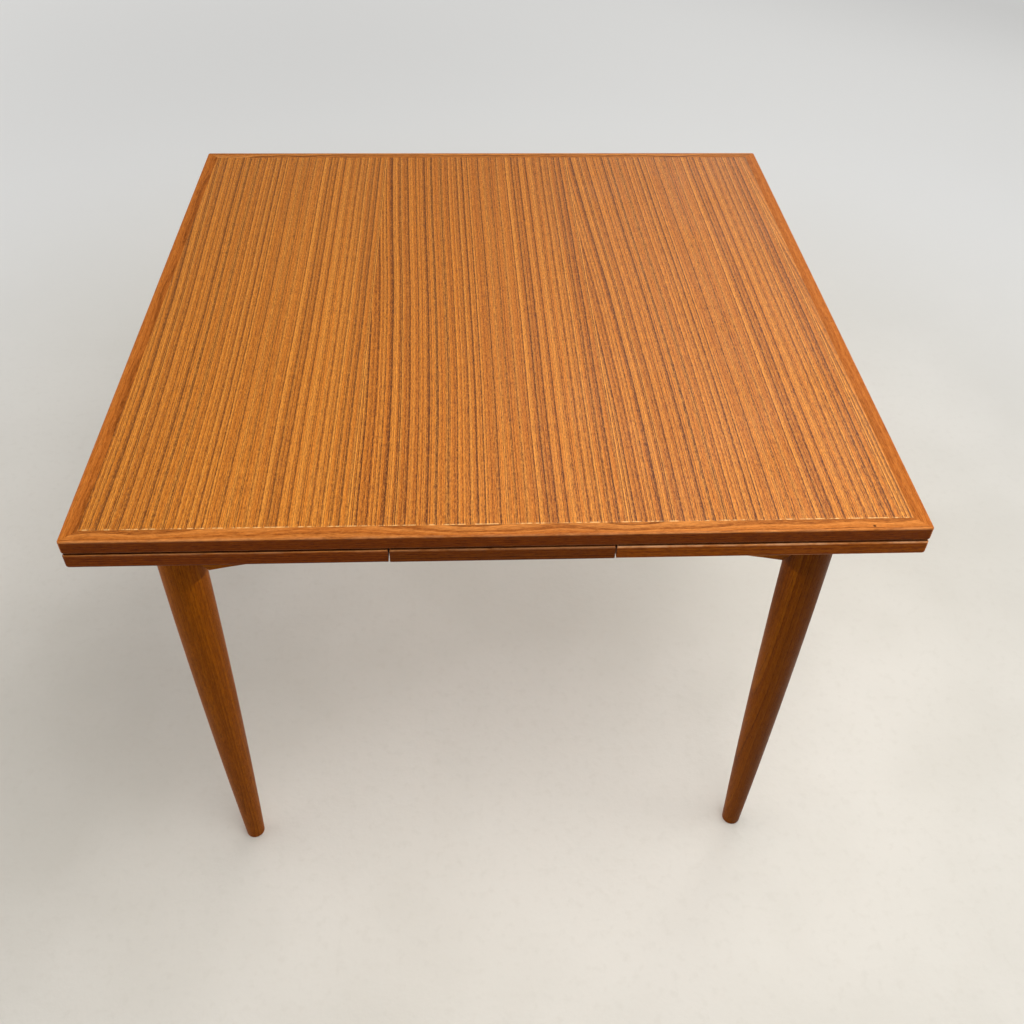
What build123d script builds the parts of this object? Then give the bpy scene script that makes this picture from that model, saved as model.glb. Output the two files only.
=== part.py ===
"""Square draw-leaf table: a loose top over two leaves that pull out left and right.

Millimetres, +Z up, X along the way the leaves draw, Y front (-) to back (+).
The origin is on the floor under the middle of the top.
"""

import math
import os

from build123d import *

os.makedirs("parts", exist_ok=True)

# Overall size
SIDE = 900.0
HEIGHT = 720.0
TOP_THICK = 17.0
TOP_GAP = 1.8
LEAF_THICK = 19.0
FRAME_DROP = 0.5

# Boards and their edges
LIPPING = 17.0
PLAN_CORNER = 3.5
TOP_UPPER_ARRIS = 1.5
TOP_LOWER_ARRIS = 2.5
LEAF_UPPER_ARRIS = 3.0
LEAF_LOWER_ARRIS = 4.0
CENTRE_WIDTH = 235.0
LEAF_JOINT = 1.3

# How far a leaf draws, and so how steep its bearers are
LEAF_CLEAR = 1.1

# Legs: round, nearly upright, thicker in the upper half than a straight taper
LEG_TOP_X = 367.0
LEG_TOP_Y = 356.0
LEG_SPLAY = 3.5
LEG_TOP_R = 27.3
LEG_FOOT_R = 13.2
LEG_SWELL = 1.8
LEG_LEVELS = 7
LEG_SPARE = 10.0
LEG_TRIM = 110.0
FOOT_ARRIS = 1.6

# Aprons
APRON_THICK = 22.0
APRON_PROUD = 11.0
APRON_MIDDLE_DEPTH = 65.6
APRON_LEG_DEPTH = 92.0
APRON_STRAIGHT = 200.0
APRON_CORNER = 10.0
APRON_SCRIBE = 5.0

# Bearers and the rails that carry them
BEARER_THICK = 22.0
BEARER_DEPTH = 31.0
BEARER_INNER_X = -300.0
BEARER_OUTER_X = 415.0
BEARER_NOSE = 8.0
RIGHT_BEARER_Y = 255.0
LEFT_BEARER_Y = 225.0
RAIL_X = 94.0
RAIL_THICK = 22.0
SLIDE_FIT = 0.5
SIDE_FIT = 0.6
NOTCH_REACH = 22.0

# Corner blocks and their hanger bolts
BLOCK_NEAR = 36.0
BLOCK_FAR = 68.0
BLOCK_HEIGHT = 50.0
BLOCK_DROP = 10.0
BOLT_R = 4.0
BOLT_IN_LEG = 20.0
BOLT_PROUD = 22.0
WASHER_R = 11.0
WASHER_THICK = 1.6
NUT_ACROSS_FLATS = 13.0
NUT_THICK = 6.5

# Loose guide dowels between the centre board and the top
DOWEL_R = 8.0
DOWEL_ARRIS = 1.0
DOWEL_FIT = 1.0
DOWEL_Y = 150.0
DOWEL_BELOW = 10.0
DOWEL_ABOVE = 11.0
SOCKET_DEPTH = 12.0

# Felt strips on the centre board
FELT_THICK = 1.7
FELT_WIDTH = 14.0
FELT_LENGTH = 640.0
FELT_X = 98.0

# Wood screws
SCREW_R = 2.0
SCREW_HEAD_R = 4.0
SCREW_HEAD = 3.0
SCREW_BITE = 11.0
SCREW_COVER = 10.0
COUNTERBORE_R = 5.0
SLOT_LENGTH = 10.0
SLOT_WIDTH = 1.0
SLOT_DEPTH = 1.2
BEARER_SCREW_X = (160.0, 250.0, 340.0)
RAIL_SCREW_Y = (-120.0, 120.0)
RAIL_SCREW_COVER = 20.0

# Levels
TOP_UNDER = HEIGHT - TOP_THICK
LEAF_TOP = TOP_UNDER - TOP_GAP
LEAF_UNDER = LEAF_TOP - LEAF_THICK
FRAME_TOP = LEAF_UNDER - FRAME_DROP

# Plan positions
HALF = SIDE / 2
CENTRE_HALF = CENTRE_WIDTH / 2
LEAF_INNER = CENTRE_HALF + LEAF_JOINT
APRON_FACE_X = LEG_TOP_X + APRON_PROUD
APRON_FACE_Y = LEG_TOP_Y + APRON_PROUD
TRAVEL_X = HALF + LEAF_CLEAR - LEAF_INNER
SLOPE = (HEIGHT - LEAF_TOP) / TRAVEL_X


def bearer_top(x):
    """Height of the sloping upper edge of a right-hand bearer, inside the leaf."""
    return FRAME_TOP - SLIDE_FIT + SLOPE * (x - CENTRE_HALF)


def bearer_foot(x):
    """Height of the sloping lower edge of a right-hand bearer."""
    return bearer_top(x) - BEARER_DEPTH


def save(piece, label):
    """Label a finished piece and write it."""
    piece.label = label
    export_step(piece, f"parts/{label}.step")


# ---------------------------------------------------------------- boards


def board_blank(x_low, x_high, z_low, thick, round_sides, upper, lower):
    """A whole board with rounded arrises, corners rounded on the sides named."""
    with BuildPart() as blank:
        with BuildSketch(Plane.XY.offset(z_low)) as outline:
            with Locations(((x_low + x_high) / 2, 0)):
                Rectangle(x_high - x_low, SIDE)
            for side in round_sides:
                corners = outline.vertices().group_by(Axis.X)[-1 if side > 0 else 0]
                fillet(corners, PLAN_CORNER)
        extrude(amount=thick)
        fillet(blank.faces().sort_by(Axis.Z)[-1].edges(), upper)
        fillet(blank.faces().sort_by(Axis.Z)[0].edges(), lower)
    return blank.part


def cut_from(blank, corners, z_low, thick):
    """The part of a blank that stands over a polygon in plan."""
    with BuildPart() as piece:
        with BuildSketch(Plane.XY.offset(z_low)):
            with BuildLine():
                Polyline(*corners, close=True)
            make_face()
        extrude(amount=thick)
        add(blank, mode=Mode.INTERSECT)
    return piece.part


def lipped_board(name, x_low, x_high, z_low, thick, round_sides, upper, lower):
    """A veneered panel and its four mitred lippings, as separate solids."""
    blank = board_blank(x_low, x_high, z_low, thick, round_sides, upper, lower)
    outer = [(x_low, -HALF), (x_high, -HALF), (x_high, HALF), (x_low, HALF)]
    inner = [
        (x_low + LIPPING, LIPPING - HALF),
        (x_high - LIPPING, LIPPING - HALF),
        (x_high - LIPPING, HALF - LIPPING),
        (x_low + LIPPING, HALF - LIPPING),
    ]
    pieces = {f"{name}_panel": cut_from(blank, inner, z_low, thick)}
    for index, side in enumerate(("front", "right", "back", "left")):
        after = (index + 1) % 4
        corners = [outer[index], outer[after], inner[after], inner[index]]
        pieces[f"{name}_lipping_{side}"] = cut_from(blank, corners, z_low, thick)
    return pieces


def bored(board, radius, spots, z_low, depth):
    """A board with round holes cut upwards from a level."""
    with BuildPart() as holed:
        add(board)
        with BuildSketch(Plane.XY.offset(z_low)):
            with Locations(*spots):
                Circle(radius)
        extrude(amount=depth, mode=Mode.SUBTRACT)
    return holed.part


DOWEL_SPOTS = [(0, -DOWEL_Y), (0, DOWEL_Y)]
SOCKET_R = DOWEL_R + DOWEL_FIT

top = lipped_board(
    "top", -HALF, HALF, TOP_UNDER, TOP_THICK, (-1, 1), TOP_UPPER_ARRIS, TOP_LOWER_ARRIS
)
top["top_panel"] = bored(top["top_panel"], SOCKET_R, DOWEL_SPOTS, TOP_UNDER, SOCKET_DEPTH)

centre = lipped_board(
    "centre_board",
    -CENTRE_HALF,
    CENTRE_HALF,
    FRAME_TOP,
    LEAF_TOP - FRAME_TOP,
    (),
    LEAF_UPPER_ARRIS,
    LEAF_LOWER_ARRIS,
)
centre_panel = centre["centre_board_panel"]
centre_panel = bored(centre_panel, SOCKET_R, DOWEL_SPOTS, FRAME_TOP, LEAF_TOP - FRAME_TOP)
rail_screws = [(side * RAIL_X, y) for side in (-1, 1) for y in RAIL_SCREW_Y]
centre["centre_board_panel"] = bored(centre_panel, SCREW_R, rail_screws, FRAME_TOP, SCREW_BITE)

left_leaf = lipped_board(
    "left_leaf",
    -HALF,
    -LEAF_INNER,
    LEAF_UNDER,
    LEAF_THICK,
    (-1,),
    LEAF_UPPER_ARRIS,
    LEAF_LOWER_ARRIS,
)
right_leaf = lipped_board(
    "right_leaf",
    LEAF_INNER,
    HALF,
    LEAF_UNDER,
    LEAF_THICK,
    (1,),
    LEAF_UPPER_ARRIS,
    LEAF_LOWER_ARRIS,
)


# ---------------------------------------------------------------- bearers


def bearer_screw_spots(side, y):
    return [(side * x, y) for x in BEARER_SCREW_X]


def bearer(side, y):
    """One tapered slide under a leaf; side is 1 for the right-hand leaf."""
    with BuildPart() as bar:
        with BuildSketch(Plane.XZ.offset(BEARER_THICK / 2 - y)):
            with BuildLine():
                Polyline(
                    (side * BEARER_INNER_X, bearer_foot(BEARER_INNER_X)),
                    (side * (BEARER_OUTER_X - BEARER_NOSE), bearer_foot(BEARER_OUTER_X - BEARER_NOSE)),
                    (side * BEARER_OUTER_X, bearer_foot(BEARER_OUTER_X) + BEARER_NOSE),
                    (side * BEARER_OUTER_X, LEAF_UNDER),
                    (side * LEAF_INNER, LEAF_UNDER),
                    (side * LEAF_INNER, bearer_top(LEAF_INNER)),
                    (side * BEARER_INNER_X, bearer_top(BEARER_INNER_X)),
                    close=True,
                )
            make_face()
        extrude(amount=-BEARER_THICK)
        with BuildSketch(Plane.XY.offset(LEAF_UNDER - SCREW_COVER)):
            with Locations(*bearer_screw_spots(side, y)):
                Circle(COUNTERBORE_R)
        extrude(amount=-BEARER_DEPTH, mode=Mode.SUBTRACT)
        with BuildSketch(Plane.XY.offset(LEAF_UNDER)):
            with Locations(*bearer_screw_spots(side, y)):
                Circle(SCREW_R)
        extrude(amount=-SCREW_COVER, mode=Mode.SUBTRACT)
    return bar.part


def screws(spots, head_top, length):
    """Slotted wood screws driven upwards, heads down."""
    with BuildPart() as group:
        with BuildSketch(Plane.XY.offset(head_top - SCREW_HEAD)):
            with Locations(*spots):
                Circle(SCREW_HEAD_R)
        extrude(amount=SCREW_HEAD)
        with BuildSketch(Plane.XY.offset(head_top)):
            with Locations(*spots):
                Circle(SCREW_R)
        extrude(amount=length)
        with BuildSketch(Plane.XY.offset(head_top - SCREW_HEAD)):
            with Locations(*spots):
                Rectangle(SLOT_WIDTH, SLOT_LENGTH)
        extrude(amount=SLOT_DEPTH, mode=Mode.SUBTRACT)
    return group.part


for side, sign, leaf, bearer_y in (
    ("left", -1, left_leaf, LEFT_BEARER_Y),
    ("right", 1, right_leaf, RIGHT_BEARER_Y),
):
    spots = []
    for place, y in (("front", -bearer_y), ("back", bearer_y)):
        save(bearer(sign, y), f"{side}_bearer_{place}")
        spots += bearer_screw_spots(sign, y)
    panel = f"{side}_leaf_panel"
    leaf[panel] = bored(leaf[panel], SCREW_R, spots, LEAF_UNDER, SCREW_BITE)
    save(screws(spots, LEAF_UNDER - SCREW_COVER, SCREW_COVER + SCREW_BITE), f"{side}_leaf_screws")

for board in (top, centre, left_leaf, right_leaf):
    for label, piece in board.items():
        save(piece, label)


# ---------------------------------------------------------------- legs


def leg_radius(height):
    """Radius of a leg at a height, thinning faster towards the foot."""
    share = max(0.0, 1 - height / FRAME_TOP)
    return LEG_TOP_R - (LEG_TOP_R - LEG_FOOT_R) * share**LEG_SWELL


def leg(x_sign, y_sign):
    """One round leg, leaning out a little, cut level at the floor and the frame top."""
    lean = Plane(
        origin=(x_sign * (LEG_TOP_X + LEG_SPLAY), y_sign * (LEG_TOP_Y + LEG_SPLAY), 0),
        x_dir=(1, 0, 0),
        z_dir=(-x_sign * LEG_SPLAY, -y_sign * LEG_SPLAY, FRAME_TOP),
    )
    face = Plane(origin=lean.origin, x_dir=lean.x_dir, z_dir=-lean.y_dir)
    levels = [FRAME_TOP * step / (LEG_LEVELS - 1) for step in range(LEG_LEVELS)]
    with BuildPart() as post:
        with BuildSketch(face):
            with BuildLine():
                foot = Line((0, -LEG_SPARE), (LEG_FOOT_R, -LEG_SPARE))
                shank = Line(foot @ 1, (LEG_FOOT_R, 0))
                profile = Spline(*[(leg_radius(level), level) for level in levels])
                head = Line(profile @ 1, (LEG_TOP_R, FRAME_TOP + LEG_SPARE))
                crown = Line(head @ 1, (0, FRAME_TOP + LEG_SPARE))
                Line(crown @ 1, foot @ 0)
            make_face()
        revolve(axis=Axis(lean.origin, lean.z_dir))
        with BuildSketch():
            with Locations((x_sign * LEG_TOP_X, y_sign * LEG_TOP_Y)):
                Rectangle(LEG_TRIM, LEG_TRIM)
        extrude(amount=FRAME_TOP, mode=Mode.INTERSECT)
        fillet(post.faces().sort_by(Axis.Z)[0].edges(), FOOT_ARRIS)
    return post.part


CORNERS = {
    "front_left": (-1, -1),
    "front_right": (1, -1),
    "back_left": (-1, 1),
    "back_right": (1, 1),
}
legs = {place: leg(*signs) for place, signs in CORNERS.items()}


# ---------------------------------------------------------------- aprons


def apron_outline(half_length):
    """The face of an apron: level along the middle, curving down to each leg."""
    straight = APRON_STRAIGHT / 2
    middle = FRAME_TOP - APRON_MIDDLE_DEPTH
    ends = FRAME_TOP - APRON_LEG_DEPTH
    corner_in = half_length - APRON_CORNER
    with BuildLine() as outline:
        Polyline(
            (half_length, ends + APRON_CORNER),
            (half_length, FRAME_TOP),
            (-half_length, FRAME_TOP),
            (-half_length, ends + APRON_CORNER),
        )
        for sign in (-1, 1):
            TangentArc((sign * straight, middle), (sign * corner_in, ends), tangent=(sign, 0))
            Line((sign * corner_in, ends), (sign * half_length, ends + APRON_CORNER))
        Line((-straight, middle), (straight, middle))
    return outline.line


def apron(face_plane, half_length, notches):
    """An apron scribed to the legs, with open notches for the bearers."""
    with BuildPart() as board:
        with BuildSketch(face_plane):
            with BuildLine():
                add(apron_outline(half_length))
            make_face()
        extrude(amount=-APRON_THICK)
        for post in legs.values():
            add(post, mode=Mode.SUBTRACT)
        for notch in notches:
            add(notch, mode=Mode.SUBTRACT)
    return board.part


def bearer_notch(side, y, x_middle):
    """The room one bearer needs through a board across its path, open at the top."""
    x_low = x_middle - NOTCH_REACH
    x_high = x_middle + NOTCH_REACH
    with BuildPart() as room:
        with BuildSketch(Plane.XZ.offset(BEARER_THICK / 2 + SIDE_FIT - y)):
            with BuildLine():
                Polyline(
                    (x_low, bearer_foot(side * x_low) - SLIDE_FIT),
                    (x_high, bearer_foot(side * x_high) - SLIDE_FIT),
                    (x_high, LEAF_UNDER),
                    (x_low, LEAF_UNDER),
                    close=True,
                )
            make_face()
        extrude(amount=-(BEARER_THICK + 2 * SIDE_FIT))
    return room.part


# Each apron runs a little way into the legs, which scribes its ends to them.
REACH_X = LEG_TOP_X - LEG_TOP_R + APRON_SCRIBE
REACH_Y = LEG_TOP_Y - LEG_TOP_R + APRON_SCRIBE
save(apron(Plane.XZ.offset(APRON_FACE_Y), REACH_X, []), "apron_front")
back_face = Plane(origin=(0, APRON_FACE_Y, 0), x_dir=(-1, 0, 0), z_dir=(0, 1, 0))
save(apron(back_face, REACH_X, []), "apron_back")
APRON_MIDDLE_X = APRON_FACE_X - APRON_THICK / 2
for side, sign, bearer_y in (("left", -1, LEFT_BEARER_Y), ("right", 1, RIGHT_BEARER_Y)):
    face = Plane(origin=(sign * APRON_FACE_X, 0, 0), x_dir=(0, sign, 0), z_dir=(sign, 0, 0))
    notches = [bearer_notch(sign, y, sign * APRON_MIDDLE_X) for y in (-bearer_y, bearer_y)]
    save(apron(face, REACH_Y, notches), f"apron_{side}")


# ---------------------------------------------------------------- rails under the centre board


def rail(x_middle):
    """A rail from front to back apron, slotted for all four bearers."""
    spots = [spot for spot in rail_screws if spot[0] == x_middle]
    half_length = APRON_FACE_Y - APRON_THICK
    with BuildPart() as bar:
        with BuildSketch(Plane.XY.offset(FRAME_TOP)):
            with Locations((x_middle, 0)):
                Rectangle(RAIL_THICK, 2 * half_length)
        extrude(amount=-APRON_MIDDLE_DEPTH)
        for side, bearer_y in ((-1, LEFT_BEARER_Y), (1, RIGHT_BEARER_Y)):
            for y in (-bearer_y, bearer_y):
                add(bearer_notch(side, y, x_middle), mode=Mode.SUBTRACT)
        with BuildSketch(Plane.XY.offset(FRAME_TOP - RAIL_SCREW_COVER)):
            with Locations(*spots):
                Circle(COUNTERBORE_R)
        extrude(amount=-APRON_MIDDLE_DEPTH, mode=Mode.SUBTRACT)
        with BuildSketch(Plane.XY.offset(FRAME_TOP)):
            with Locations(*spots):
                Circle(SCREW_R)
        extrude(amount=-RAIL_SCREW_COVER, mode=Mode.SUBTRACT)
    return bar.part


save(rail(-RAIL_X), "cross_rail_left")
save(rail(RAIL_X), "cross_rail_right")
rail_screw_length = RAIL_SCREW_COVER + SCREW_BITE
save(screws(rail_screws, FRAME_TOP - RAIL_SCREW_COVER, rail_screw_length), "centre_board_screws")


# ---------------------------------------------------------------- corner blocks and bolts

INNER_X = APRON_FACE_X - APRON_THICK
INNER_Y = APRON_FACE_Y - APRON_THICK
BLOCK_TOP = FRAME_TOP - BLOCK_DROP
BOLT_Z = BLOCK_TOP - BLOCK_HEIGHT / 2


def inward_plane(x_sign, y_sign, reach):
    """A plane across the corner's diagonal, facing the middle of the table."""
    x = x_sign * (INNER_X - reach / 2)
    y = y_sign * (INNER_Y - reach / 2)
    return Plane(origin=(x, y, BOLT_Z), x_dir=(0, 0, 1), z_dir=(-x_sign, -y_sign, 0))


def corner_block(x_sign, y_sign):
    """A block glued across the inner corner, drilled for the hanger bolt."""
    with BuildPart() as block:
        with BuildSketch(Plane.XY.offset(BLOCK_TOP)):
            with BuildLine():
                Polyline(
                    (x_sign * (INNER_X - BLOCK_NEAR), y_sign * INNER_Y),
                    (x_sign * (INNER_X - BLOCK_FAR), y_sign * INNER_Y),
                    (x_sign * INNER_X, y_sign * (INNER_Y - BLOCK_FAR)),
                    (x_sign * INNER_X, y_sign * (INNER_Y - BLOCK_NEAR)),
                    close=True,
                )
            make_face()
        extrude(amount=-BLOCK_HEIGHT)
        with BuildSketch(inward_plane(x_sign, y_sign, 0)):
            Circle(BOLT_R)
        extrude(amount=BLOCK_FAR, mode=Mode.SUBTRACT)
    return block.part


def on_every_corner(start, length, draw):
    """The same profile extruded inwards on all four diagonals, as separate solids."""
    with BuildPart() as group:
        for signs in CORNERS.values():
            plane = inward_plane(*signs, 0).offset(start)
            with BuildSketch(plane):
                draw()
            extrude(amount=length)
    return group.part


def draw_washer():
    Circle(WASHER_R)
    Circle(BOLT_R, mode=Mode.SUBTRACT)


def draw_nut():
    RegularPolygon(NUT_ACROSS_FLATS / 2, 6, major_radius=False)
    Circle(BOLT_R, mode=Mode.SUBTRACT)


BLOCK_FACE = BLOCK_FAR / math.sqrt(2)
BOLT_START = -BOLT_IN_LEG + (LEG_TOP_R - APRON_PROUD) / math.sqrt(2)
bolts = on_every_corner(BOLT_START, BLOCK_FACE + BOLT_PROUD - BOLT_START, lambda: Circle(BOLT_R))
save(bolts, "hanger_bolts")
save(on_every_corner(BLOCK_FACE, WASHER_THICK, draw_washer), "bolt_washers")
save(on_every_corner(BLOCK_FACE + WASHER_THICK, NUT_THICK, draw_nut), "bolt_nuts")

for place, signs in CORNERS.items():
    save(corner_block(*signs), f"corner_block_{place}")
    with BuildPart() as drilled:
        add(legs[place])
        add(bolts, mode=Mode.SUBTRACT)
    save(drilled.part, f"leg_{place}")


# ---------------------------------------------------------------- dowels and felt

with BuildPart() as dowels:
    with BuildSketch(Plane.XY.offset(FRAME_TOP - DOWEL_BELOW)):
        with Locations(*DOWEL_SPOTS):
            Circle(DOWEL_R)
    extrude(amount=TOP_UNDER + DOWEL_ABOVE - FRAME_TOP + DOWEL_BELOW)
    fillet(dowels.edges().filter_by(GeomType.CIRCLE), DOWEL_ARRIS)
save(dowels.part, "guide_dowels")

with BuildPart() as felt:
    with BuildSketch(Plane.XY.offset(LEAF_TOP)):
        with Locations((-FELT_X, 0), (FELT_X, 0)):
            Rectangle(FELT_WIDTH, FELT_LENGTH)
    extrude(amount=FELT_THICK)
save(felt.part, "felt_strips")
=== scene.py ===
"""Draw-leaf table: teak materials, camera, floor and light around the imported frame."""

import math

import bmesh
import bpy
from mathutils import Matrix, Vector


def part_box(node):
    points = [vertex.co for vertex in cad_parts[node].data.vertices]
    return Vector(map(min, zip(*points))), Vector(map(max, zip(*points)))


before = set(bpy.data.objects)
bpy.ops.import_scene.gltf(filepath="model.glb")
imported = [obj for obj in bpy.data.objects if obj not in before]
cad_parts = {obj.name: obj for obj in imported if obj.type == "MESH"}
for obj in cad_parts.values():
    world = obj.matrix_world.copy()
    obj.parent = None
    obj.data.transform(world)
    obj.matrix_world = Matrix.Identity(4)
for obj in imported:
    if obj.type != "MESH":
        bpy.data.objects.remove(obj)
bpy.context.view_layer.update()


# ---------------------------------------------------------------- camera

CAMERA_PLACE = Vector((-0.0358, -1.2041, 1.4654))
CAMERA_YAW = math.radians(3.348)
CAMERA_PITCH = math.radians(43.318)
CAMERA_ROLL = math.radians(1.426)
CAMERA_LENS = 36.474
CAMERA_SENSOR = 36.0
CAMERA_FAR = 60.0


def make_camera():
    """The camera, from its heading, its tilt down and its roll."""
    level = math.cos(CAMERA_PITCH)
    heading = Vector((math.sin(CAMERA_YAW), math.cos(CAMERA_YAW), 0))
    forward = Vector((heading.x * level, heading.y * level, -math.sin(CAMERA_PITCH)))
    flat_right = Vector((heading.y, -heading.x, 0))
    flat_up = flat_right.cross(forward)
    right = math.cos(CAMERA_ROLL) * flat_right + math.sin(CAMERA_ROLL) * flat_up
    up = math.cos(CAMERA_ROLL) * flat_up - math.sin(CAMERA_ROLL) * flat_right
    data = bpy.data.cameras.new("camera")
    data.lens = CAMERA_LENS
    data.sensor_width = CAMERA_SENSOR
    data.clip_end = CAMERA_FAR
    camera = bpy.data.objects.new("camera", data)
    turn = Matrix((right, up, -forward)).transposed()
    camera.matrix_world = Matrix.Translation(CAMERA_PLACE) @ turn.to_4x4()
    bpy.context.scene.collection.objects.link(camera)
    bpy.context.scene.camera = camera


# ---------------------------------------------------------------- shader helpers


def srgb(red, green, blue):
    """A display colour, 0 to 255, as linear RGBA."""
    channels = []
    for value in (red, green, blue):
        share = value / 255
        linear = share / 12.92 if share <= 0.04045 else ((share + 0.055) / 1.055) ** 2.4
        channels.append(linear)
    return (*channels, 1.0)


class Shader:
    """A material and short ways to add and join its nodes."""

    def __init__(self, name):
        self.material = bpy.data.materials.new(name)
        self.material.use_nodes = True
        self.tree = self.material.node_tree
        self.tree.nodes.clear()

    def node(self, kind, **settings):
        made = self.tree.nodes.new(kind)
        for key, value in settings.items():
            setattr(made, key, value)
        return made

    def feed(self, socket, value):
        if isinstance(value, bpy.types.NodeSocket):
            self.tree.links.new(value, socket)
        elif value is not None:
            socket.default_value = value

    def math(self, operation, first, second=None, third=None, clamp=False):
        made = self.node("ShaderNodeMath", operation=operation, use_clamp=clamp)
        for index, value in enumerate((first, second, third)):
            self.feed(made.inputs[index], value)
        return made.outputs[0]

    def add(self, first, second):
        return self.math("ADD", first, second)

    def scale(self, first, factor):
        return self.math("MULTIPLY", first, factor)

    def map(self, value, low, high, new_low=0.0, new_high=1.0, smooth=True):
        kind = "SMOOTHSTEP" if smooth else "LINEAR"
        made = self.node("ShaderNodeMapRange", interpolation_type=kind)
        for index, entry in enumerate((value, low, high, new_low, new_high)):
            self.feed(made.inputs[index], entry)
        return made.outputs[0]

    def vector(self, x, y, z):
        made = self.node("ShaderNodeCombineXYZ")
        for index, value in enumerate((x, y, z)):
            self.feed(made.inputs[index], value)
        return made.outputs[0]

    def noise(self, x, y, z, detail=2.0, rough=0.5):
        made = self.node("ShaderNodeTexNoise", noise_dimensions="3D")
        self.feed(made.inputs["Vector"], self.vector(x, y, z))
        made.inputs["Scale"].default_value = 1.0
        made.inputs["Detail"].default_value = detail
        made.inputs["Roughness"].default_value = rough
        return made.outputs["Fac"]

    def noise_line(self, along, detail=1.0):
        made = self.node("ShaderNodeTexNoise", noise_dimensions="1D")
        self.feed(made.inputs["W"], along)
        made.inputs["Scale"].default_value = 1.0
        made.inputs["Detail"].default_value = detail
        return made.outputs["Fac"]

    def mix(self, share, first, second):
        made = self.node("ShaderNodeMix", data_type="RGBA", blend_type="MIX")
        self.feed(made.inputs[0], share)
        self.feed(made.inputs[6], first)
        self.feed(made.inputs[7], second)
        return made.outputs[2]

    def tint(self, share, colour, factor):
        """A colour multiplied by a factor where share is one."""
        made = self.node("ShaderNodeMix", data_type="RGBA", blend_type="MULTIPLY")
        self.feed(made.inputs[0], share)
        self.feed(made.inputs[6], colour)
        self.feed(made.inputs[7], factor)
        return made.outputs[2]

    def place(self, offset=(0.0, 0.0, 0.0)):
        """Object coordinates, which are the frame's metres, moved by an offset."""
        where = self.node("ShaderNodeTexCoord").outputs["Object"]
        moved = self.node("ShaderNodeVectorMath", operation="ADD")
        self.feed(moved.inputs[0], where)
        moved.inputs[1].default_value = offset
        split = self.node("ShaderNodeSeparateXYZ")
        self.feed(split.inputs[0], moved.outputs[0])
        return split.outputs[0], split.outputs[1], split.outputs[2]

    def finish(self, colour, roughness, height=None, bump=0.0, metallic=0.0, specular=0.5):
        surface = self.node("ShaderNodeBsdfPrincipled")
        self.feed(surface.inputs["Base Color"], colour)
        self.feed(surface.inputs["Roughness"], roughness)
        surface.inputs["Metallic"].default_value = metallic
        surface.inputs["Specular IOR Level"].default_value = specular
        if height is not None:
            relief = self.node("ShaderNodeBump")
            relief.inputs["Strength"].default_value = 1.0
            relief.inputs["Distance"].default_value = bump
            self.feed(relief.inputs["Height"], height)
            self.feed(surface.inputs["Normal"], relief.outputs[0])
        output = self.node("ShaderNodeOutputMaterial")
        self.feed(output.inputs["Surface"], surface.outputs[0])
        return self.material


# ---------------------------------------------------------------- wood

TEAK = (
    srgb(236, 154, 58),
    srgb(204, 116, 28),
    srgb(170, 88, 15),
    srgb(88, 38, 5),
    srgb(64, 26, 4),
)
SOLID_TEAK = (
    srgb(186, 108, 16),
    srgb(158, 82, 6),
    srgb(126, 58, 2),
    srgb(74, 30, 1),
    srgb(50, 20, 1),
)
LIP_TEAK = (
    srgb(226, 148, 72),
    srgb(198, 115, 44),
    srgb(164, 85, 28),
    srgb(92, 40, 10),
    srgb(60, 25, 4),
)
SIDE_LIP_TEAK = (
    srgb(206, 124, 50),
    srgb(180, 96, 30),
    srgb(150, 74, 18),
    srgb(84, 36, 6),
    srgb(58, 24, 4),
)
LEG_TEAK = (
    srgb(172, 98, 6),
    srgb(146, 75, 1),
    srgb(116, 54, 0),
    srgb(66, 26, 0),
    srgb(46, 18, 0),
)
# The right legs' palette: darker as painted shade
SHADED_LEG_TEAK = (
    srgb(140, 78, 5),
    srgb(118, 58, 1),
    srgb(92, 41, 0),
    srgb(56, 22, 0),
    srgb(40, 15, 0),
)
BEECH = (
    srgb(205, 170, 124),
    srgb(190, 150, 102),
    srgb(172, 130, 84),
    srgb(150, 106, 64),
    srgb(120, 82, 48),
)

AXES = {"X": (0, 1, 2), "Y": (1, 0, 2), "Z": (2, 0, 1)}

# Shares of one growth ring between which each part of its line builds up or fades out
SHOULDER = (0.35, 0.90)
CORE = (0.80, 0.88)
LINE_END = (0.93, 0.99)
BAND_END = (0.06, 0.26)

# Spacing of a veneered board's growth lines, and the two finer sets as shares of it
RING = 0.0105
MIDDLE_RING = 0.43
FINE_RING = 0.17

# Noise cycles to a metre along the grain and across it
FIBRE = (60.0, 1100.0)
PORE = (130.0, 1900.0)
SPECK = (210.0, 850.0)


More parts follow.
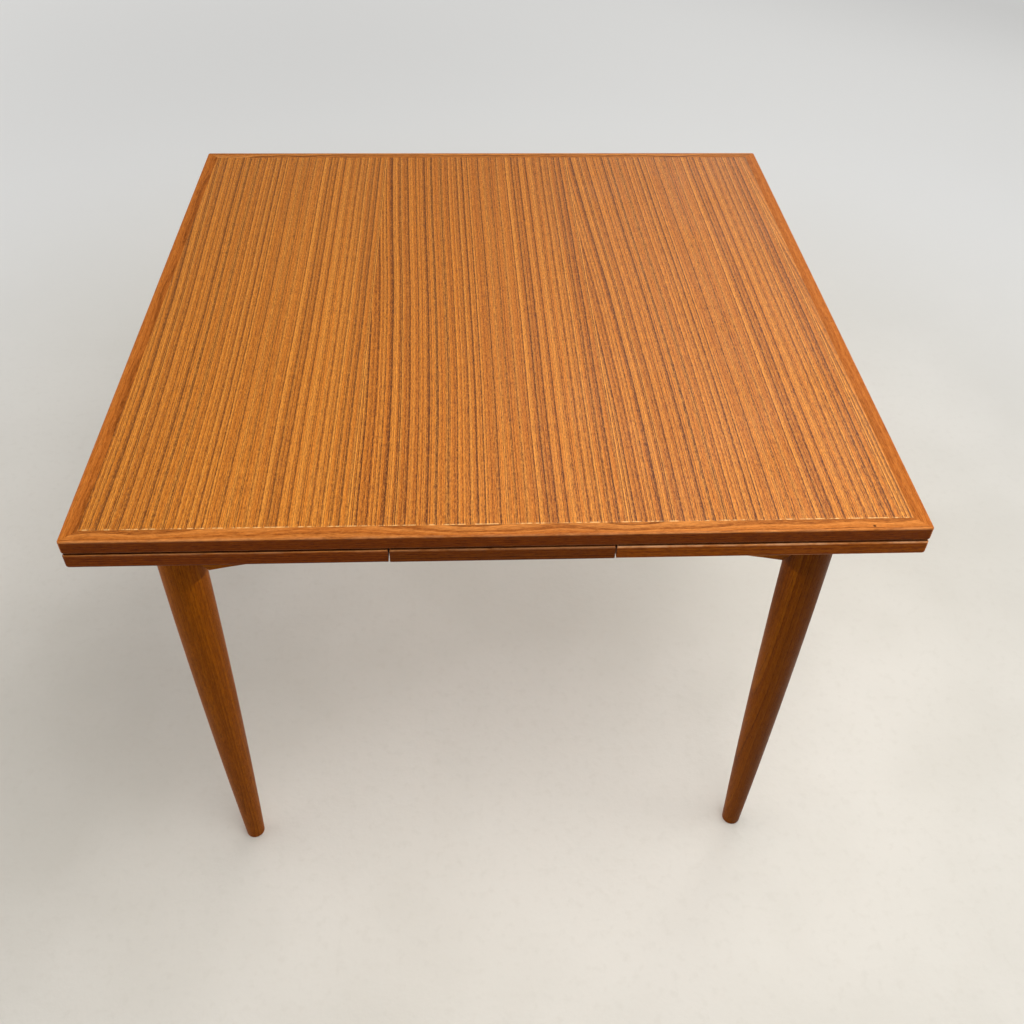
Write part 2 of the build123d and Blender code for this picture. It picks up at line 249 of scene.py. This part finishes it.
def ring_lines(shader, distance, along, spacing, seed, soft):
    """Growth lines at uneven spacing: a soft shoulder, a dark core, then a pale band."""
    drift = shader.noise_line(shader.add(shader.scale(distance, 0.10 / spacing), seed), 1.0)
    jitter = shader.add(shader.scale(distance, 0.55 / spacing), seed + 5.0)
    jitter = shader.noise_line(jitter, 1.0)
    uneven = shader.add(distance, shader.scale(drift, 1.6 * spacing))
    uneven = shader.add(uneven, shader.scale(jitter, 0.9 * spacing))
    turns = shader.scale(uneven, 1.0 / spacing)
    share = shader.math("FRACT", turns)
    shoulder = shader.map(share, *SHOULDER, 0.0, soft)
    core = shader.map(share, *CORE, 0.0, 1.0 - soft)
    fall = shader.map(share, *LINE_END, 1.0, 0.0)
    count = shader.math("FLOOR", turns)
    weight = shader.noise_line(shader.add(shader.scale(count, 3.71), seed), 0.0)
    weight = shader.map(weight, 0.36, 0.60, 0.45, 1.0)
    fade = shader.noise(shader.scale(along, 5.0), shader.scale(count, 1.7), seed, 2.0)
    fade = shader.math("MULTIPLY", shader.map(fade, 0.3, 0.65, 0.8, 1.0), weight)
    line = shader.math("MULTIPLY", shader.add(shoulder, core), fall)
    after = shader.map(share, *BAND_END, 1.0, 0.0)
    return shader.math("MULTIPLY", line, fade), shader.math("MULTIPLY", after, weight)


def grain_noise(shader, place, cycles, detail, rough=0.5):
    """Noise drawn out along the grain."""
    along, across, depth = place
    long_way, cross_way = cycles
    return shader.noise(
        shader.scale(along, long_way),
        shader.scale(across, cross_way),
        shader.scale(depth, cross_way),
        detail,
        rough,
    )


def wood_surface(shader, ring, along, across, depth, look):
    """Colour, roughness and height of oiled wood round a ring coordinate."""
    light, mid, deep, line_colour, pore_colour = look["palette"]
    seed = look["seed"]
    spacing = look["ring"]
    place = (along, across, depth)
    slow_ring = shader.scale(ring, 0.16 / spacing)
    tone = shader.noise(shader.scale(along, 1.1), slow_ring, seed, 3.0, 0.5)
    streak = shader.noise_line(shader.add(shader.scale(ring, 1.5 / spacing), seed), 3.0)
    colour = shader.mix(shader.map(tone, 0.18, 0.60), deep, mid)
    colour = shader.mix(shader.map(streak, 0.42, 0.70, 0.0, look["streak"]), colour, light)
    coarse, band = ring_lines(shader, ring, along, spacing, seed, 0.35)
    middle, thin_band = ring_lines(
        shader, ring, along, spacing * MIDDLE_RING, seed + 11.0, 0.4
    )
    fine, _ = ring_lines(shader, ring, along, spacing * FINE_RING, seed + 23.0, 0.5)
    pale = shader.scale(band, look["band"])
    pale = shader.add(pale, shader.scale(thin_band, look["band"] * 0.5))
    colour = shader.mix(pale, colour, light)
    fibre = grain_noise(shader, place, FIBRE, 3.0, 0.65)
    pores = grain_noise(shader, place, PORE, 1.0)
    pore_mask = shader.map(pores, 0.58, 0.72)
    speckle = grain_noise(shader, place, SPECK, 2.0, 0.7)
    dark = shader.scale(coarse, look["contrast"])
    dark = shader.add(dark, shader.scale(middle, look["contrast"] * 0.7))
    dark = shader.add(dark, shader.scale(fine, look["contrast"] * 0.5))
    dark = shader.add(dark, shader.map(speckle, 0.48, 0.64, 0.0, look["speckle"]))
    fibre_dark = shader.map(fibre, 0.40, 0.72, 0.0, look["fibre"])
    dark = shader.math("ADD", dark, fibre_dark, clamp=True)
    colour = shader.mix(dark, colour, line_colour)
    fibre_light = shader.map(fibre, 0.5, 0.28, 0.0, look["fibre"] * 0.8)
    colour = shader.mix(fibre_light, colour, light)
    speckle_light = shader.map(speckle, 0.48, 0.34, 0.0, look["speckle"])
    colour = shader.mix(speckle_light, colour, light)
    colour = shader.mix(shader.scale(pore_mask, look["pore"]), colour, pore_colour)
    gloss = shader.noise(shader.scale(along, 9.0), shader.scale(across, 14.0), seed, 3.0)
    smoothest, roughest = look["rough"] - 0.05, look["rough"] + 0.07
    rough = shader.map(gloss, 0.3, 0.7, smoothest, roughest, smooth=False)
    rough = shader.add(rough, shader.scale(pore_mask, 0.15))
    height = shader.math("SUBTRACT", fibre, shader.scale(pore_mask, 0.8))
    return colour, rough, height


# On the edge of a board: how far the painted shade fades, how far wear and painted highlight
# reach, and the painted shadow line under the top
SHADE_FADE = 0.0006
WEAR_WIDTH = 0.0034
WEAR_UNDER = 0.2
WEAR_AND_HIGHLIGHT = srgb(240, 186, 138)
GAP_SHADOW_IN = 0.0038
GAP_SHADOW_DEPTH = (0.0008, 0.0004)
GAP_SHADOW_COLOUR = (0.10, 0.07, 0.05, 1.0)


def paint_edge_wear_and_light(shader, colour, rough, place, wear_and_painted_light):
    """Painted shade on outer faces, arrises paler from wear and painted highlight with gaps in
    it, and a painted shadow line round the upper rim.
    """
    x, y, z = place
    half_x, half_y, low, high = wear_and_painted_light["box"]
    side = shader.math("ABSOLUTE", shader.math("SUBTRACT", x, wear_and_painted_light["middle"]))
    front = shader.math("ABSOLUTE", y)

    def band(inner, outer):
        """Rises from zero to one between two distances in from the board's nearest side."""
        near_x = shader.map(side, half_x - inner, half_x - outer)
        near_y = shader.map(front, half_y - inner, half_y - outer)
        return shader.math("MAXIMUM", near_x, near_y)

    # Painted shade: the board's outer faces below the upper rim are tinted darker; a deep skin
    # also darkens the arrises, as painted shadow under the top
    below = shader.map(z, high - SHADE_FADE, high - 3.0 * SHADE_FADE)
    outer = shader.math("MULTIPLY", band(wear_and_painted_light["shade_skin"], wear_and_painted_light["shade_skin"] - SHADE_FADE), below)
    colour = shader.tint(outer, colour, wear_and_painted_light["face"])
    near_high = shader.map(z, high - WEAR_WIDTH, high)
    near_low = shader.map(z, low + WEAR_WIDTH, low)
    top_or_bottom = shader.math("MAXIMUM", near_high, shader.scale(near_low, WEAR_UNDER))
    mask = shader.math("MULTIPLY", band(WEAR_WIDTH, 0.0), top_or_bottom)
    patch = shader.noise(
        shader.scale(x, 28.0), shader.scale(y, 28.0), shader.scale(z, 90.0), 4.0, 0.65
    )
    mask = shader.math("MULTIPLY", mask, shader.map(patch, 0.35, 0.6, 0.15, 1.0))
    # Paler arrises: partly wear, partly painted highlight, strongest on the right leaf
    colour = shader.mix(shader.scale(mask, wear_and_painted_light["strength"]), colour, WEAR_AND_HIGHLIGHT)
    rough = shader.add(rough, shader.scale(mask, 0.12))
    # Painted shadow: a dark line round the upper rim where the top sits over the leaves and
    # centre board
    upper = shader.map(z, high - GAP_SHADOW_DEPTH[0], high - GAP_SHADOW_DEPTH[1])
    gap_shadow_rim = shader.math("MULTIPLY", band(GAP_SHADOW_IN, GAP_SHADOW_IN - SHADE_FADE), upper)
    colour = shader.tint(shader.scale(gap_shadow_rim, wear_and_painted_light["gap_shadow"]), colour, GAP_SHADOW_COLOUR)
    return colour, rough


# The dent near the front right corner: its place, its core and rim, and the heights it fades in
DENT = (0.3876, -0.4443)
DENT_REACH = (0.0009, 0.0022)
DENT_FLOOR = (0.712, 0.716)


def dent_mask(shader, x, y, z, middle):
    """One inside a small round dent in an upper face."""
    off_x = shader.math("POWER", shader.math("SUBTRACT", x, middle[0]), 2.0)
    off_y = shader.math("POWER", shader.math("SUBTRACT", y, middle[1]), 2.0)
    reach = shader.math("SQRT", shader.add(off_x, off_y))
    hollow = shader.map(reach, *DENT_REACH, 0.85, 0.0)
    return shader.math("MULTIPLY", hollow, shader.map(z, *DENT_FLOOR))


def solid_wood(name, grain, offset, look, pith, wear_and_painted_light=None):
    """Wood cut from a log: growth rings round a pith line that runs along the grain."""
    shader = Shader(name)
    x, y, z = shader.place()
    moved = shader.place(offset)
    along, across, depth = (moved[index] for index in AXES[grain])
    bend = shader.scale(along, look["bend_scale"])
    bend = shader.noise(bend, shader.scale(across, 6.0), look["seed"], 2.0)
    bend = shader.scale(shader.math("SUBTRACT", bend, 0.5), look["bend"])
    first = shader.math("SUBTRACT", across, pith[0])
    second = shader.math("SUBTRACT", depth, pith[1])
    square = shader.add(shader.math("POWER", first, 2.0), shader.math("POWER", second, 2.0))
    ring = shader.add(shader.math("SQRT", square), bend)
    colour, rough, height = wood_surface(shader, ring, along, across, depth, look)
    if wear_and_painted_light:
        colour, rough = paint_edge_wear_and_light(shader, colour, rough, (x, y, z), wear_and_painted_light)
    if "dent" in look:
        dent = dent_mask(shader, x, y, z, look["dent"])
        colour = shader.mix(dent, colour, look["palette"][4])
        height = shader.math("SUBTRACT", height, shader.scale(dent, 4.0))
    return shader.finish(colour, rough, height, look["bump"], specular=look["specular"])


# Veneer: how far its lines lean, from where to where, and the pale line along the front lipping
LEAN = 0.030
LEAN_Y = (-0.30, 0.60)
SWAY = 0.005
JOINT_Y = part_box("top_panel")[0][1]
JOINT_WIDTH = (0.0010, 0.0018)
JOINT_PALE = srgb(244, 196, 128)


def veneer(name, look, start, sheet):
    """Slip-matched veneer: the same leaf of wood repeated, grain front to back."""
    shader = Shader(name)
    x, y, z = shader.place()
    steps = shader.scale(shader.math("SUBTRACT", x, start), 1.0 / sheet)
    number = shader.math("FLOOR", steps)
    share = shader.math("FRACT", steps)
    local = shader.scale(share, sheet)
    back = shader.map(y, *LEAN_Y)
    left = shader.math("POWER", shader.math("SUBTRACT", 1.0, share), 1.4)
    shift = shader.scale(shader.math("MULTIPLY", left, back), LEAN)
    sway = shader.noise(shader.scale(y, 2.2), shader.scale(local, 9.0), look["seed"], 2.0)
    sway = shader.scale(shader.math("SUBTRACT", sway, 0.5), SWAY)
    ring = shader.add(shader.add(local, shift), sway)
    ring = shader.add(ring, shader.scale(number, 0.0006))
    colour, rough, height = wood_surface(shader, ring, y, x, z, look)
    tint = shader.noise_line(shader.add(shader.scale(number, 2.3), look["seed"]), 0.0)
    colour = shader.mix(shader.map(tint, 0.3, 0.7, 0.0, 0.14), colour, look["palette"][0])
    seam = shader.math("ABSOLUTE", shader.math("SUBTRACT", share, 0.5))
    seam = shader.map(seam, 0.4985, 0.5)
    colour = shader.mix(shader.scale(seam, 0.45), colour, look["palette"][3])
    joint = shader.map(y, JOINT_Y + JOINT_WIDTH[0], JOINT_Y + JOINT_WIDTH[1], 1.0, 0.0)
    gaps = shader.noise(shader.scale(x, 160.0), shader.scale(y, 20.0), look["seed"], 3.0)
    joint = shader.math("MULTIPLY", joint, shader.map(gaps, 0.42, 0.60, 0.05, 0.60))
    colour = shader.mix(joint, colour, JOINT_PALE)
    return shader.finish(colour, rough, height, look["bump"], specular=look["specular"])


def wood_look(seed, palette=SOLID_TEAK, **changes):
    """The settings of one piece of wood."""
    settings = {
        "palette": palette,
        "seed": seed,
        "ring": RING,
        "contrast": 0.85,
        "band": 0.3,
        "speckle": 0.15,
        "streak": 0.7,
        "fibre": 0.32,
        "pore": 0.40,
        "rough": 0.40,
        "bump": 0.00012,
        "bend": 0.010,
        "bend_scale": 3.2,
        "specular": 0.05,
    }
    settings.update(changes)
    return settings


# ---------------------------------------------------------------- other materials


def metal(name, colour, tint, rough):
    """Plain metal with faint blotches and fine turning marks."""
    shader = Shader(name)
    x, y, z = shader.place()
    blotch = shader.noise(
        shader.scale(x, 160.0), shader.scale(y, 160.0), shader.scale(z, 160.0), 4.0
    )
    fine = shader.noise(
        shader.scale(x, 900.0), shader.scale(y, 900.0), shader.scale(z, 2500.0), 2.0
    )
    shade = shader.mix(shader.map(blotch, 0.35, 0.7), colour, tint)
    roughness = shader.map(blotch, 0.3, 0.7, rough, rough + 0.18)
    return shader.finish(shade, roughness, fine, 0.00004, metallic=1.0)


def felt(name):
    """Green felt: matted fibres."""
    shader = Shader(name)
    x, y, z = shader.place()
    mat = shader.noise(
        shader.scale(x, 700.0), shader.scale(y, 700.0), shader.scale(z, 700.0), 5.0, 0.7
    )
    worn = shader.noise(shader.scale(x, 30.0), shader.scale(y, 12.0), 0.0, 3.0)
    shade = shader.mix(mat, srgb(26, 52, 34), srgb(60, 96, 62))
    shade = shader.mix(shader.map(worn, 0.5, 0.75, 0.0, 0.4), shade, srgb(96, 116, 88))
    return shader.finish(shade, 0.95, mat, 0.0004, specular=0.1)


# Distances from the middle of the table between which the floor's painted shade near the table
# fades to the paler floor farther away
FLOOR_SHADE_REACH = (0.7, 2.4)


def concrete(name):
    """A plain pale floor with faint clouding, darker near the table as painted shade and paler
    farther away.
    """
    shader = Shader(name)
    x, y, z = shader.place()
    cloud = shader.noise(shader.scale(x, 1.1), shader.scale(y, 1.1), 0.0, 4.0, 0.6)
    speck = shader.noise(shader.scale(x, 60.0), shader.scale(y, 60.0), 0.0, 3.0, 0.6)
    square = shader.add(shader.math("POWER", x, 2.0), shader.math("POWER", y, 2.0))
    # Painted shade round the table, fading out with distance
    out_of_painted_shade = shader.map(shader.math("SQRT", square), *FLOOR_SHADE_REACH)
    shade = shader.mix(shader.map(cloud, 0.35, 0.65), srgb(206, 201, 190), srgb(216, 211, 201))
    shade = shader.mix(shader.map(speck, 0.5, 0.75, 0.0, 0.25), shade, srgb(200, 194, 182))
    shade = shader.mix(out_of_painted_shade, shade, srgb(232, 231, 228))
    return shader.finish(shade, 0.75, speck, 0.0005, specular=0.2)


def glow(name, colour, strength):
    """An even light surface."""
    shader = Shader(name)
    light = shader.node("ShaderNodeEmission")
    light.inputs["Color"].default_value = colour
    light.inputs["Strength"].default_value = strength
    output = shader.node("ShaderNodeOutputMaterial")
    shader.feed(output.inputs["Surface"], light.outputs[0])
    return shader.material


# ---------------------------------------------------------------- dress the frame's pieces

TOP_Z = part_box("top_panel")[1][2]
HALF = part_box("top_lipping_right")[1][0]


def board_wear_and_painted_light(low, high, strength, face, shade_skin, gap_shadow):
    """Wear and painted highlight on the outer arrises of a board between two corners, with
    painted shade on its outer faces and a painted shadow line round its upper rim.
    """
    return {
        "box": ((high[0] - low[0]) / 2, high[1], low[2], high[2]),
        "middle": (low[0] + high[0]) / 2,
        "strength": strength,
        "face": (*face, 1.0),
        "shade_skin": shade_skin,
        "gap_shadow": gap_shadow,
    }


def wrap(nodes):
    """The lowest and highest corners of several nodes together."""
    boxes = [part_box(node) for node in nodes]
    low = [min(box[0][axis] for box in boxes) for axis in range(3)]
    high = [max(box[1][axis] for box in boxes) for axis in range(3)]
    return low, high


def dress(node, material):
    """Give a frame piece its material."""
    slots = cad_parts[node].material_slots
    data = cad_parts[node].data
    if not slots:
        data.materials.append(material)
        return
    for slot in slots:
        slot.material = material


def nodes_like(prefix):
    return sorted(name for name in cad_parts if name.startswith(prefix))


VENEER_LOOK = {
    "palette": TEAK,
    "contrast": 1.15,
    "band": 0.28,
    "speckle": 0.30,
    "fibre": 0.38,
    "specular": 0.22,
}
LIP_LOOK = {
    "palette": LIP_TEAK,
    "ring": 0.0026,
    "contrast": 0.7,
    "fibre": 0.45,
    "bend": 0.004,
    "bend_scale": 5.0,
    "rough": 0.42,
}
SIDE_LIP_LOOK = {**LIP_LOOK, "palette": SIDE_LIP_TEAK, "contrast": 0.35, "bend": 0.003}
APRON_LOOK = {"contrast": 0.5, "rough": 0.45, "ring": 0.007}
LEG_LOOK = {
    "contrast": 0.3,
    "streak": 0.3,
    "rough": 0.36,
    "ring": 0.0052,
    "bend": 0.006,
    "specular": 0.03,
}
BEARER_LOOK = {"rough": 0.55, "contrast": 0.5, "ring": 0.006}
BEECH_LOOK = {"palette": BEECH, "contrast": 0.35, "pore": 0.25, "rough": 0.62, "ring": 0.006}

# How far in the painted shade of an outer face reaches: the deep one also takes in the arrises,
# as painted shadow under the top
THIN_SHADE_SKIN = 0.0006
DEEP_SHADE_SKIN = 0.0032

# How dark the painted shadow line is round the upper rim of the leaves and centre board, under
# the top
LEAF_GAP_SHADOW = 0.85
STILL = (0.0, 0.0, 0.0)

# Where the piths lie: a lipping's below and beside it, and a leg's beside its middle
PITH_DEPTH = 0.085
PITH_SHARE = 0.96
LEG_PITH = 0.034

# Board, seed, left end and width of its veneer sheets, strength of wear and painted highlight on
# the arrises, outer faces' painted shade, reach of that shade, painted shadow line
BOARDS = (
    ("top", 1.0, -0.4495, 0.2915, 0.12, (0.35, 0.21, 0.02), THIN_SHADE_SKIN, 0.0),
    ("left_leaf", 21.0, -0.45, 0.165, 0.20, (0.37, 0.22, 0.02), DEEP_SHADE_SKIN, LEAF_GAP_SHADOW),
    # The right leaf: its arrises carry a strong painted highlight, and its faces less painted
    # shade than the others
    ("right_leaf", 31.0, 0.12, 0.165, 0.85, (0.52, 0.36, 0.03), THIN_SHADE_SKIN, LEAF_GAP_SHADOW),
    ("centre_board", 41.0, -0.1175, 0.1175, 0.25, (0.31, 0.20, 0.02), DEEP_SHADE_SKIN, LEAF_GAP_SHADOW),
)


def dress_board(prefix, seed, start, sheet, strength, face, shade_skin, gap_shadow):
    """A veneered panel and its lippings, each lipping its own stick of wood."""
    pieces = nodes_like(f"{prefix}_panel") + nodes_like(f"{prefix}_lipping")
    wear_and_painted_light = board_wear_and_painted_light(*wrap(pieces), strength, face, shade_skin, gap_shadow)
    shade = wood_look(seed, **VENEER_LOOK)
    dress(f"{prefix}_panel", veneer(f"{prefix}_veneer", shade, start, sheet))
    for index, side in enumerate(("front", "right", "back", "left")):
        grain = "X" if side in ("front", "back") else "Y"
        shade = wood_look(seed + 5.0 + index, **(LIP_LOOK if grain == "X" else SIDE_LIP_LOOK))
        if prefix == "top" and side == "front":
            shade["dent"] = DENT
        offset = (0.37 * index + seed, 0.21 * index, 0.0)
        edge = HALF if side in ("right", "back") else -HALF
        across = offset[1] if grain == "X" else offset[0]
        pith = (across + edge * PITH_SHARE, TOP_Z - PITH_DEPTH)
        name = f"{prefix}_lipping_{side}"
        dress(name, solid_wood(name, grain, offset, shade, pith, wear_and_painted_light))


def dress_legs():
    """Each leg with its own pith, just outside the turning; the right legs get a darker palette
    as painted shade.
    """
    for index, node in enumerate(nodes_like("leg_")):
        low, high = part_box(node)
        middle = ((low[0] + high[0]) / 2, (low[1] + high[1]) / 2)
        turn = 0.7 + 1.9 * index
        pith = (middle[0] + LEG_PITH * math.cos(turn), middle[1] + LEG_PITH * math.sin(turn))
        # Painted shade: the right legs take the darker palette
        palette = SHADED_LEG_TEAK if node.endswith("right") else LEG_TEAK
        settings = wood_look(61.0 + index, palette, **LEG_LOOK)
        dress(node, solid_wood(node, "Z", STILL, settings, pith))


def dress_table():
    """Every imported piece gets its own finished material."""
    for board in BOARDS:
        dress_board(*board)
    for index, node in enumerate(nodes_like("apron_")):
        grain = "X" if node in ("apron_front", "apron_back") else "Y"
        settings = wood_look(51.0 + index, **APRON_LOOK)
        offset = (0.13 * index, 0.07 * index, 0.0)
        dress(node, solid_wood(node, grain, offset, settings, (0.55, 0.60)))
    dress_legs()
    for index, node in enumerate(nodes_like("left_bearer") + nodes_like("right_bearer")):
        settings = wood_look(71.0 + index, **BEARER_LOOK)
        dress(node, solid_wood(node, "X", STILL, settings, (0.1, 0.75)))
    for prefix, seed, grain, pith in (
        ("cross_rail", 81.0, "Y", (0.0, 0.55)),
        ("corner_block", 91.0, "Z", (0.2, 0.1)),
        ("guide_dowels", 99.0, "Z", (0.05, 0.0)),
    ):
        for index, node in enumerate(nodes_like(prefix)):
            settings = wood_look(seed + index, **BEECH_LOOK)
            dress(node, solid_wood(node, grain, STILL, settings, pith))
    steel = metal("steel", srgb(150, 150, 146), srgb(112, 110, 104), 0.35)
    for node in ("hanger_bolts", "bolt_washers", "bolt_nuts"):
        dress(node, steel)
    brass = metal("screw_brass", srgb(190, 150, 84), srgb(140, 104, 56), 0.38)
    for node in ("left_leaf_screws", "right_leaf_screws", "centre_board_screws"):
        dress(node, brass)
    dress("felt_strips", felt("felt"))


# ---------------------------------------------------------------- stage

FLOOR_HALF = 4.6
DOME_RADIUS = 14.0


def make_floor():
    mesh = bpy.data.meshes.new("floor")
    signs = ((-1, -1), (1, -1), (1, 1), (-1, 1))
    corners = [(sx * FLOOR_HALF, sy * FLOOR_HALF, 0.0) for sx, sy in signs]
    mesh.from_pydata(corners, [], [(0, 1, 2, 3)])
    floor = bpy.data.objects.new("floor", mesh)
    floor.data.materials.append(concrete("floor_concrete"))
    bpy.context.scene.collection.objects.link(floor)


def make_dome():
    """A pale surround that only the camera sees."""
    shell = bmesh.new()
    bmesh.ops.create_uvsphere(shell, u_segments=48, v_segments=24, radius=DOME_RADIUS)
    mesh = bpy.data.meshes.new("surround")
    shell.to_mesh(mesh)
    shell.free()
    dome = bpy.data.objects.new("surround", mesh)
    mesh.materials.append(glow("surround_glow", srgb(240, 240, 240), 1.0))
    for ray in ("diffuse", "glossy", "transmission", "volume_scatter", "shadow"):
        setattr(dome, f"visible_{ray}", False)
    bpy.context.scene.collection.objects.link(dome)


SKY = (0.95, 0.97, 1.0, 1.0)
SKY_STRENGTH = 0.24
FILL_AIM = (0.0, 0.0, 0.25)

# Each lamp's name, place, the point it faces, width and height, and watts
LAMPS = (
    ("ceiling", (0.6, -0.80, 2.35), (0.15, -0.40, 0.7), (1.7, 1.2), 42.0),
    ("back_window", (1.9, 3.0, 1.9), (0.1, 0.0, 0.7), (3.0, 1.8), 15.0),
    ("front_sheen", (0.75, 1.25, 2.35), (0.3, -0.4, 0.7), (1.4, 0.9), 11.0),
    ("under_fill", (0.0, -0.1, 0.58), (0.0, -0.1, 0.0), (0.7, 0.7), 1.2),
    ("left_fill", (-4.8, 0.4, 1.0), FILL_AIM, (6.0, 1.6), 150.0),
    ("right_fill", (4.8, 0.4, 1.0), FILL_AIM, (6.0, 1.6), 46.0),
    ("back_fill", (0.0, 7.5, 1.4), FILL_AIM, (14.0, 2.4), 480.0),
)


def area_light(name, place, target, size, power):
    data = bpy.data.lights.new(name, "AREA")
    data.shape = "RECTANGLE"
    data.size, data.size_y = size
    data.energy = power
    lamp = bpy.data.objects.new(name, data)
    aim = Vector(target) - Vector(place)
    turn = aim.to_track_quat("-Z", "Y").to_matrix().to_4x4()
    lamp.matrix_world = Matrix.Translation(place) @ turn
    lamp.visible_camera = False
    bpy.context.scene.collection.objects.link(lamp)
    return lamp


def make_light():
    """A dim even sky and the lamps; the widest one behind leaves no reflection."""
    world = bpy.data.worlds.new("world")
    bpy.context.scene.world = world
    world.use_nodes = True
    sky = world.node_tree.nodes["Background"]
    sky.inputs["Color"].default_value = SKY
    sky.inputs["Strength"].default_value = SKY_STRENGTH
    for settings in LAMPS:
        lamp = area_light(*settings)
        lamp.visible_glossy = lamp.name != "back_fill"
    bpy.context.scene.view_settings.view_transform = "Standard"


dress_table()
make_floor()
make_dome()
make_light()
make_camera()
